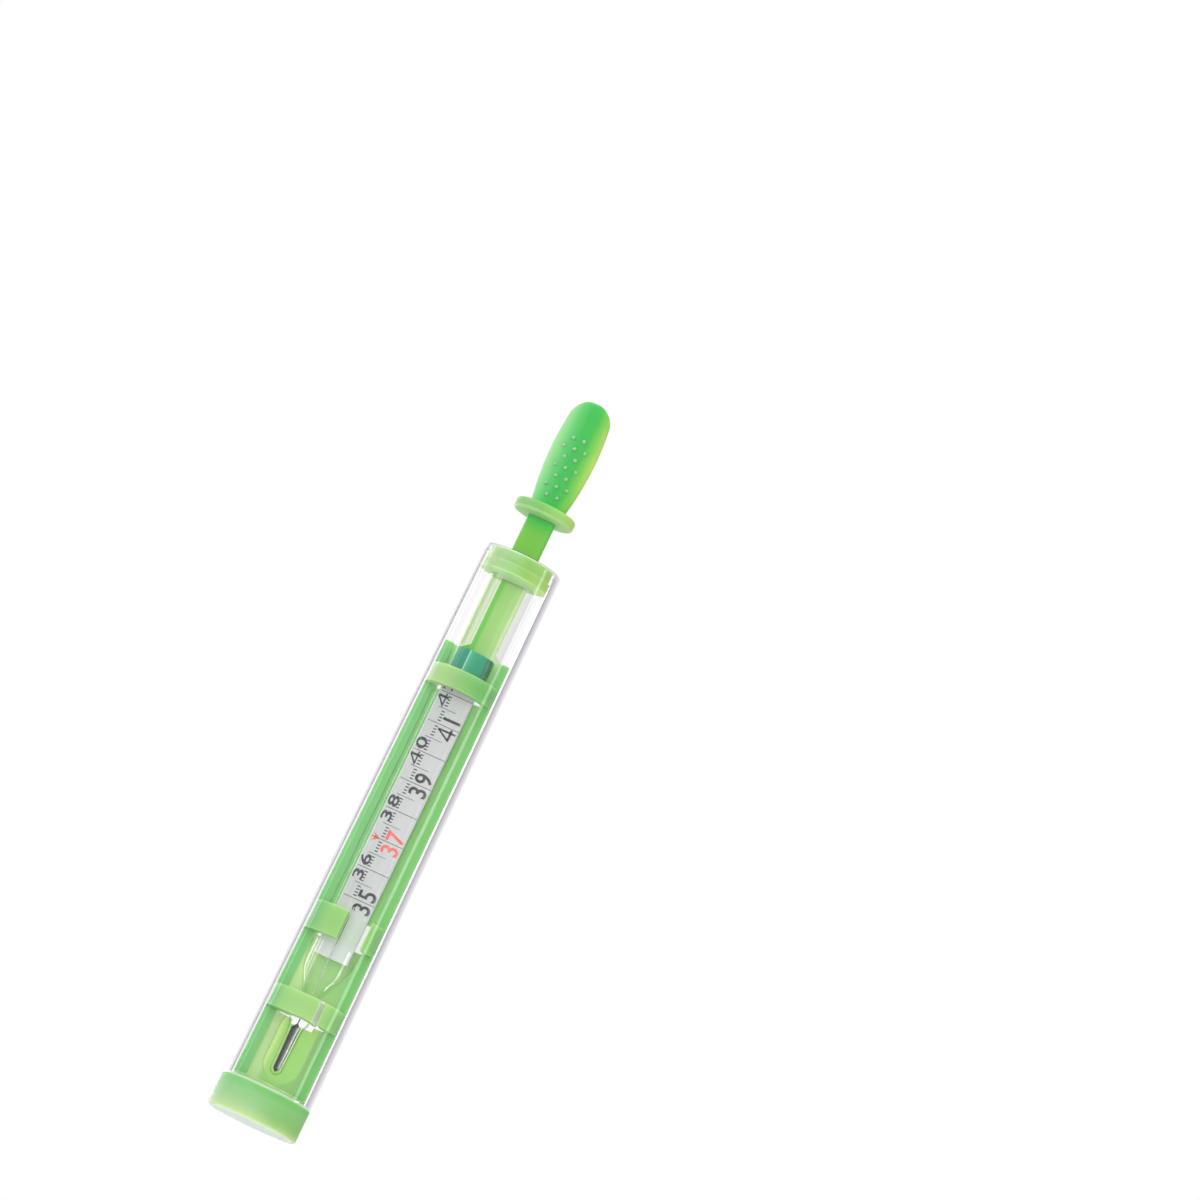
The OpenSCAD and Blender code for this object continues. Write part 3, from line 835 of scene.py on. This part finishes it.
def paddle_outline():
    """Half width and height above the collar up the leaf's edge: a side arc that runs into the end arc."""
    rise = (PADDLE_W - PADDLE_FOOT_W) / 2
    side_r = (PADDLE_WIDE_Z ** 2 + rise ** 2) / (2 * rise)
    arc_x = side_r - PADDLE_W / 2
    reach = PADDLE_LEN - PADDLE_WIDE_Z
    end_r = (side_r ** 2 - arc_x ** 2 - reach ** 2) / (2 * (side_r - reach))
    end_z = PADDLE_LEN - end_r
    join = math.asin((end_z - PADDLE_WIDE_Z) / (side_r - end_r))
    join_z = end_z + end_r * math.sin(join)
    heights = [-PADDLE_ROOT] + [join_z * i / PADDLE_SIDE_STEPS for i in range(PADDLE_SIDE_STEPS)]
    points = [(math.sqrt(side_r ** 2 - (z - PADDLE_WIDE_Z) ** 2) - arc_x, z) for z in heights]
    angles = [join + (math.pi / 2 - join) * i / PADDLE_END_STEPS for i in range(PADDLE_END_STEPS + 1)]
    return points + [(end_r * math.cos(a), end_z + end_r * math.sin(a)) for a in angles]


def paddle_face(x):
    """Half thickness of the leaf at a distance from its middle line."""
    rise = (PADDLE_T - PADDLE_EDGE_T) / 2
    half = PADDLE_W / 2
    face_r = (half ** 2 + rise ** 2) / (2 * rise)
    return PADDLE_T / 2 - face_r + math.sqrt(face_r ** 2 - x * x)


def paddle_ring(half_w, height, count):
    """Section of the leaf with rounded edges. It thins towards the leaf's end."""
    half_w = max(PADDLE_TIP, half_w)
    into_end = min(1.0, max(0.0, (height - PADDLE_LEN + PADDLE_END_ROUND) / PADDLE_END_ROUND))
    end_factor = math.sqrt(max(PADDLE_LEAST_END, 1 - into_end ** 2))
    points = []
    for i in range(count):
        angle = 2 * math.pi * i / count
        across = math.cos(angle)
        side = math.sin(angle)
        x = half_w * math.copysign(abs(across) ** PADDLE_SPACING, across)
        rounding = (1 - min(1.0, abs(x / half_w)) ** PADDLE_EDGE_POWER) ** (1 / 3)
        half_t = paddle_face(x) * rounding * end_factor
        y = math.copysign(half_t, side) if abs(side) > NEAR_ZERO else 0.0
        points.append((x, y, PADDLE_Z + height))
    return points


GRIP_MATERIALS = [green_grip, pale_dots]
DOT_SEGMENTS = 16
DOT_RINGS = 10


def add_dot(bm, x, side, height):
    """A raised round dot on one face of the leaf."""
    centre = Vector((x, side * paddle_face(x), height)) * MM
    shape = Matrix.Translation(centre) @ Matrix.Diagonal((DOT_R * MM, DOT_H * MM, DOT_R * MM, 1.0))
    dot = bmesh.ops.create_uvsphere(
        bm, u_segments=DOT_SEGMENTS, v_segments=DOT_RINGS, radius=1.0, matrix=shape,
    )
    for vert in dot["verts"]:
        for face in vert.link_faces:
            face.material_index = GRIP_MATERIALS.index(pale_dots)


def make_grip():
    """Flat stem, collar and dotted leaf-shaped grip."""
    bm = bmesh.new()
    made = skin(bm, [paddle_ring(half_w, height, PADDLE_SEGMENTS) for half_w, height in paddle_outline()])
    bm.faces.new(made[-1])

    rim = COLLAR_R - COLLAR_ROUND
    collar = [(0, COLLAR_Z), (rim - COLLAR_FLAT_EDGE, COLLAR_Z)]
    collar += arc(rim, COLLAR_Z + COLLAR_ROUND, COLLAR_ROUND, start=-90, end=0, steps=6)
    collar += arc(rim, COLLAR_Z + COLLAR_H - COLLAR_ROUND, COLLAR_ROUND, start=0, end=90, steps=6)
    collar += [(rim - COLLAR_FLAT_EDGE, COLLAR_Z + COLLAR_H), (0, COLLAR_Z + COLLAR_H)]
    skin(bm, turned_rings(collar, COLLAR_SEGMENTS))

    straight = (STEM_W - STEM_T) / 2
    section = []
    for i in range(STEM_SEGMENTS):
        angle = 2 * math.pi * (i + 0.5) / STEM_SEGMENTS
        shift = math.copysign(straight, math.cos(angle))
        section.append((shift + STEM_T / 2 * math.cos(angle), STEM_T / 2 * math.sin(angle)))
    stem_top = COLLAR_Z + STEM_ROOT
    stem_heights = [STEM_Z + (stem_top - STEM_Z) * i / STEM_STEPS for i in range(STEM_STEPS + 1)]
    made = skin(bm, [[(x, y, z) for x, y in section] for z in stem_heights])
    bm.faces.new(made[0])
    bm.faces.new(made[-1])

    for row in range(DOT_ROWS):
        count = DOTS_PER_ROW[row % 2]
        for i in range(count):
            x = (i - (count - 1) / 2) * DOT_PITCH
            for side in (-1, 1):
                add_dot(bm, x, side, PADDLE_Z + DOT_FIRST_Z + row * DOT_ROW_GAP)
    grip = finish_mesh("grip_body", bm, GRIP_MATERIALS, sharp_degrees=40)
    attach(grip, "holder")
    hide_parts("grip")


# The print: its layer, the marks from a left to a right end and their line widths, in millimetres
PRINT_T = 0.02
PRINT_Y = PLATE_FRONT_Y - PRINT_T / 2
PRINT_FRONT_Y = PRINT_Y - PRINT_T / 2
MARK_MIDDLE = -0.75
DEGREE_LEFT = -3.35
DEGREE_RIGHT = 3.8
DEGREE_LINE = 0.13
HALF_LEFT = -2.45
HALF_RIGHT = 1.5
HALF_RIGHT_LINE = 0.1
TENTH_LEFT = -1.5
TENTH_LINE = 0.26
ARROW = [
    (-3.3, -1.0), (-1.55, 0.0), (-3.3, 1.0), (-2.75, 0.15), (-3.4, 0.15), (-3.4, -0.15), (-2.75, -0.15),
]

# Digits: even ones are small and left of the marks, odd ones large and right of them
EVEN_DIGITS = {"foot_x": -1.3, "height": 2.3, "stretch": 1.72, "bold": 0.018}
EVEN_GAP = 1.72
ODD_DIGITS = {"foot_x": 3.45, "height": 4.0, "stretch": 0.86, "bold": 0.014}
ODD_GAP = 1.5

# Shape of the 4 at unit height
FOUR_STROKE = 0.1
FOUR_STEM_X = 0.1
FOUR_HALF_W = 0.37
FOUR_BAR_UP = 0.22
FOUR_SLOPE_UP = 0.3


def degree_z(degree):
    return DEGREE_35_Z + (degree - LOWEST_DEGREE) * DEGREE_LEN


def add_bar(bm, x0, x1, z, thickness):
    """A printed line across the plate."""
    centre = Vector(((x0 + x1) / 2, PRINT_Y, z)) * MM
    shape = Matrix.Translation(centre) @ Matrix.Diagonal(((x1 - x0) * MM, PRINT_T * MM, thickness * MM, 1.0))
    bmesh.ops.create_cube(bm, size=1.0, matrix=shape)


def make_scale_lines():
    """Marks of the scale: long at each degree, middling at each half and short at each tenth."""
    bm = bmesh.new()
    tenths = (HIGHEST_DEGREE - LOWEST_DEGREE) * 10
    for tenth in range(tenths + 1):
        z = degree_z(LOWEST_DEGREE + tenth / 10)
        if tenth % 10 == 0:
            add_bar(bm, DEGREE_LEFT, MARK_MIDDLE, z, DEGREE_LINE)
            add_bar(bm, MARK_MIDDLE, DEGREE_RIGHT, z, DEGREE_LINE)
        elif tenth % 5 == 0:
            add_bar(bm, HALF_LEFT, MARK_MIDDLE, z, DEGREE_LINE)
            add_bar(bm, MARK_MIDDLE, HALF_RIGHT, z, HALF_RIGHT_LINE)
        else:
            add_bar(bm, TENTH_LEFT, MARK_MIDDLE, z, TENTH_LINE)
    lines = finish_mesh("scale_lines", bm, [dark_ink], sharp_degrees=30)
    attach(lines, "holder")


GLYPH_STEPS = 6


def glyph(character, bold):
    """Outline mesh of one character, as (points, faces), scaled to a unit height."""
    curve = bpy.data.curves.new("glyph", "FONT")
    curve.body = character
    curve.resolution_u = GLYPH_STEPS
    curve.offset = bold
    writing = bpy.data.objects.new("glyph", curve)
    bpy.context.scene.collection.objects.link(writing)
    shaped = writing.evaluated_get(bpy.context.evaluated_depsgraph_get())
    mesh = bpy.data.meshes.new_from_object(shaped)
    points = [vertex.co.copy() for vertex in mesh.vertices]
    faces = [tuple(polygon.vertices) for polygon in mesh.polygons]
    bpy.data.objects.remove(writing)
    bpy.data.curves.remove(curve)
    bpy.data.meshes.remove(mesh)
    low_x = min(point.x for point in points)
    high_x = max(point.x for point in points)
    low_y = min(point.y for point in points)
    height = max(point.y for point in points) - low_y
    middle = (low_x + high_x) / 2
    return [((p.x - middle) / height, (p.y - low_y) / height) for p in points], faces


def four(bold):
    """An open 4 of three strokes, at unit height."""
    wide = FOUR_STROKE + 2 * bold
    stem = FOUR_STEM_X
    half = FOUR_HALF_W
    bar_up = FOUR_BAR_UP
    upright = [(stem, 0.0), (stem + wide, 0.0), (stem + wide, 1.0), (stem, 1.0)]
    bar = [(-half, bar_up), (half, bar_up), (half, bar_up + wide), (-half, bar_up + wide)]
    slope = [(-half, FOUR_SLOPE_UP), (-half + wide, FOUR_SLOPE_UP), (stem + wide, 1.0), (stem, 1.0)]
    return upright + bar + slope, [(0, 1, 2, 3), (4, 5, 6, 7), (8, 9, 10, 11)]


def add_digit(bm, character, z, foot_x, height, stretch, bold):
    """A printed digit with its foot at foot_x, its top to the left and its middle at z."""
    points, faces = four(bold) if character == "4" else glyph(character, bold)
    verts = []
    for along, up in points:
        place = Vector((foot_x - up * height, PRINT_FRONT_Y, z + along * height * stretch))
        verts.append(bm.verts.new(place * MM))
    for face in faces:
        bm.faces.new([verts[i] for i in face])


def make_numerals():
    """Numbers of the degrees, with one in red and an arrow at its mark."""
    dark = bmesh.new()
    red = bmesh.new()
    for degree in range(LOWEST_DEGREE, HIGHEST_DEGREE + 1):
        target = red if degree == RED_DEGREE else dark
        tens, ones = str(degree)
        is_even = degree % 2 == 0
        style = EVEN_DIGITS if is_even else ODD_DIGITS
        gap = EVEN_GAP if is_even else ODD_GAP
        add_digit(target, tens, degree_z(degree) - gap, **style)
        add_digit(target, ones, degree_z(degree) + gap, **style)
    arrow_z = degree_z(RED_DEGREE)
    red.faces.new([red.verts.new(Vector((x, PRINT_FRONT_Y, arrow_z + up)) * MM) for x, up in ARROW])
    for name, bm, material in (("numerals_dark", dark, dark_ink), ("numerals_red", red, red_ink)):
        numerals = finish_mesh(name, bm, [material], sharp_degrees=30)
        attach(numerals, "holder")


make_tube()
make_sheath()
make_capillary()
make_thread()
make_grip()
make_scale_lines()
make_numerals()

for node_name, material in (
    ("carriage", green_tray),
    ("head_plug", green_plug),
    ("bottom_cap", green_cap),
    ("scale_plate", plate_white),
    ("plate_holder", teal_plastic),
    ("bulb_liquid", bulb_metal),
):
    node = nodes[node_name]
    node.data.materials.clear()
    node.data.materials.append(material)


# Camera at the photograph's angle: the case leans to the right and is seen a little from below
IMAGE_SIDE = 1200
FOCAL_PX = 6000.0
VIEW_AZIMUTH = 11.0
VIEW_ELEVATION = -7.0
VIEW_ROLL = 25.72
VIEW_DISTANCE = 1259.3
AIM_Z = 70.0
AIM_PX = (396.4, 822.2)
SENSOR_MM = 36.0
NEAREST_M = 0.01
FURTHEST_M = 20.0


def outward(azimuth, elevation):
    """Direction from the case to a point round it. At azimuth 0 that is the side with the scale."""
    a = math.radians(azimuth)
    e = math.radians(elevation)
    return Vector((math.sin(a) * math.cos(e), -math.cos(a) * math.cos(e), math.sin(e)))


def make_camera():
    """Camera whose picture has the aim point at its pixel and leans by the roll."""
    azimuth = math.radians(VIEW_AZIMUTH)
    roll = math.radians(VIEW_ROLL)
    back = outward(VIEW_AZIMUTH, VIEW_ELEVATION)
    level = Vector((math.cos(azimuth), math.sin(azimuth), 0.0))
    up = back.cross(level)
    right = math.cos(roll) * level + math.sin(roll) * up
    above = math.cos(roll) * up - math.sin(roll) * level
    turn = Matrix((right, above, back)).transposed().to_quaternion()
    middle = IMAGE_SIDE / 2
    aim_x, aim_y = AIM_PX
    ray = Vector(((aim_x - middle) / FOCAL_PX, (middle - aim_y) / FOCAL_PX, -1.0)).normalized()
    aim = ray.rotation_difference(Vector((0.0, 0.0, -1.0)))
    data = bpy.data.cameras.new("camera")
    data.sensor_width = SENSOR_MM
    data.lens = data.sensor_width * FOCAL_PX / IMAGE_SIDE
    data.clip_start = NEAREST_M
    data.clip_end = FURTHEST_M
    camera = bpy.data.objects.new("camera", data)
    camera.location = (Vector((0.0, 0.0, AIM_Z)) + back * VIEW_DISTANCE) * MM
    camera.rotation_mode = "QUATERNION"
    camera.rotation_quaternion = turn @ aim
    bpy.context.scene.collection.objects.link(camera)
    bpy.context.scene.camera = camera


def make_area_light(name, azimuth, elevation, distance, size, watts, mirrored=True, lights_matt=True):
    """Soft light that points at the middle of the case. Angles are in degrees and lengths in metres.

    mirrored says whether mirrors show it, and lights_matt whether it lights matt surfaces.
    """
    back = outward(azimuth, elevation)
    data = bpy.data.lights.new(name, "AREA")
    data.shape = "RECTANGLE"
    data.size, data.size_y = size
    data.energy = watts
    light = bpy.data.objects.new(name, data)
    light.location = Vector((0.0, 0.0, AIM_Z * MM)) + back * distance
    light.rotation_mode = "QUATERNION"
    light.rotation_quaternion = back.to_track_quat("Z", "Y")
    light.visible_camera = False
    light.visible_glossy = mirrored
    light.visible_diffuse = lights_matt
    bpy.context.scene.collection.objects.link(light)


MATT_LIGHT = 0.53
WHITE_LIGHT = 1.0


def make_world():
    """Even white studio. The eye, mirrors and clear walls see plain white, matt surfaces a softer light."""
    world = bpy.data.worlds.new("studio")
    world.use_nodes = True
    tree = world.node_tree
    tree.nodes.clear()
    output = tree.nodes.new("ShaderNodeOutputWorld")
    soft = add(tree, "ShaderNodeBackground", {"Color": grey(1.0), "Strength": MATT_LIGHT})
    white = add(tree, "ShaderNodeBackground", {"Color": grey(1.0), "Strength": WHITE_LIGHT})
    path = add(tree, "ShaderNodeLightPath")
    seen = calculated(tree, "MAXIMUM", path.outputs["Is Camera Ray"], path.outputs["Is Glossy Ray"])
    shown = calculated(tree, "MAXIMUM", seen, path.outputs["Is Transmission Ray"])
    mixed = mix_shaders(tree, shown, soft.outputs["Background"], white.outputs["Background"])
    tree.links.new(mixed, output.inputs["Surface"])
    bpy.context.scene.world = world


FLOOR_SEGMENTS = 96


def make_floor():
    """Pale floor, well below the case, which is held in the air."""
    bm = bmesh.new()
    bmesh.ops.create_circle(bm, cap_ends=True, segments=FLOOR_SEGMENTS, radius=FLOOR_R,
                            matrix=Matrix.Translation((0.0, 0.0, FLOOR_Z)))
    mesh = bpy.data.meshes.new("floor")
    bm.to_mesh(mesh)
    bm.free()
    mesh.materials.append(pale_floor("pale_floor"))
    floor = bpy.data.objects.new("floor", mesh)
    bpy.context.scene.collection.objects.link(floor)


make_camera()
make_world()
make_area_light("key_light", -40.0, 35.0, 0.9, (0.5, 0.5), 1.3, mirrored=False)
make_area_light("top_light", -20.0, 75.0, 1.0, (0.6, 0.6), 3.5, mirrored=False)
make_area_light("front_fill", 8.0, 0.0, 1.0, (0.6, 0.6), 4.2, mirrored=False)
make_area_light("back_fill", 188.0, 10.0, 1.0, (0.6, 0.6), 3.5, mirrored=False)
make_area_light("left_strip", -81.0, 0.0, 0.6, (0.04, 0.7), 0.25, lights_matt=False)
make_area_light("left_edge_strip", -95.0, 0.0, 0.6, (0.04, 0.7), 0.25, lights_matt=False)
make_area_light("right_strip", 84.0, 0.0, 0.6, (0.1, 0.6), 0.8, lights_matt=False)
make_area_light("back_left", -133.0, 0.0, 0.8, (0.75, 0.9), 6.3, lights_matt=False)
make_area_light("low_right_strip", 94.0, -32.0, 0.22, (0.04, 0.12), 0.12, lights_matt=False)
make_floor()
bpy.context.scene.view_settings.view_transform = "Standard"
